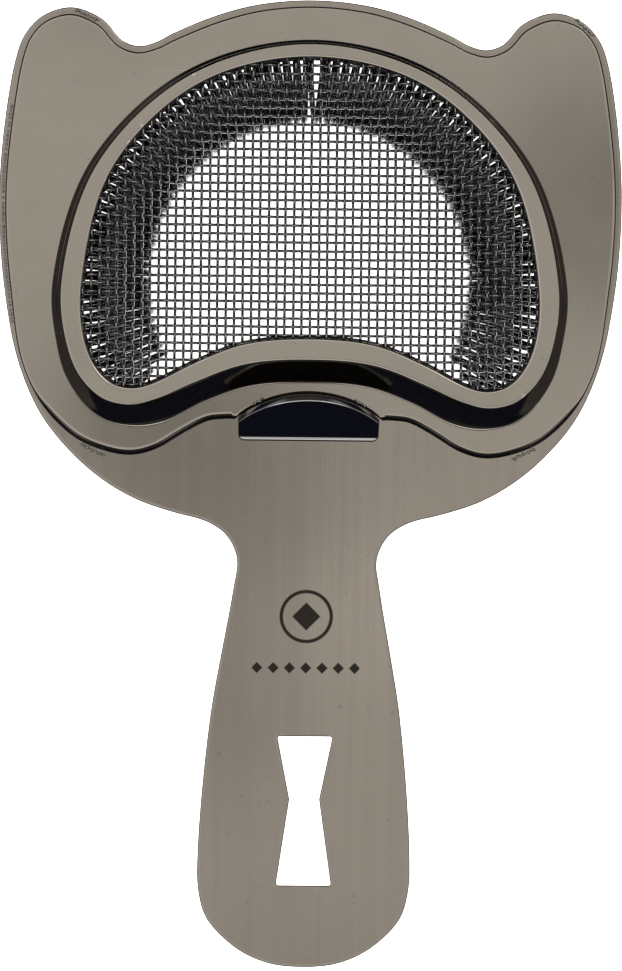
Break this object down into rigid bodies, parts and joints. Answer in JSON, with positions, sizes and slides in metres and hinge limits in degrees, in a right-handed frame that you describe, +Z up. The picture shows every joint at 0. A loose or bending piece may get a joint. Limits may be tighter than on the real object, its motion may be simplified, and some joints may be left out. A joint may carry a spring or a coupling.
{
  "type": "hawthorne strainer",
  "caption": "Flat handled bar strainer with eared head, lobed wire-mesh window, C-shaped coil spring underneath and a finger tab.",
  "frame": {"origin": "centre of the overall box in plan, at the lowest line of the coil spring", "axes": "+Y from the handle to the pouring edge, +Z up through the plates away from the spring, X across with the part symmetric about X = 0"},
  "size_m": [0.1142, 0.178, 0.0247],
  "materials": {
    "satin_gunmetal": "satin gunmetal coating, brushed along the handle",
    "polished_gunmetal": "polished gunmetal coating",
    "black_wire": "near-black coated steel",
    "gloss_gunmetal": "glossy near-black gunmetal coating",
    "weld_metal": "rough dark weld bead"
  },
  "bodies": {
    "strainer": {"body_plate": "satin_gunmetal", "cover_plate": "polished_gunmetal", "strainer_mesh": "black_wire", "mesh_clamp_ring": "black_wire", "spring_anchor_left": "black_wire", "spring_anchor_right": "black_wire", "finger_tab": "gloss_gunmetal", "weld_anchor_left": "weld_metal", "weld_anchor_right": "weld_metal", "weld_ear_left": "weld_metal", "weld_ear_right": "weld_metal", "weld_lobe_left": "weld_metal", "weld_lobe_right": "weld_metal", "weld_tab_left": "weld_metal", "weld_tab_right": "weld_metal", "weld_seam_left": "weld_metal"},
    "spring": {"coil_spring": "black_wire"}
  },
  "joints": [
    {"name": "spring_compress", "type": "slide", "parent": "strainer", "child": "spring", "axis": [0, -1, 0], "range_m": [0, 0.0035], "stiffness_N_per_m": 800}
  ]
}
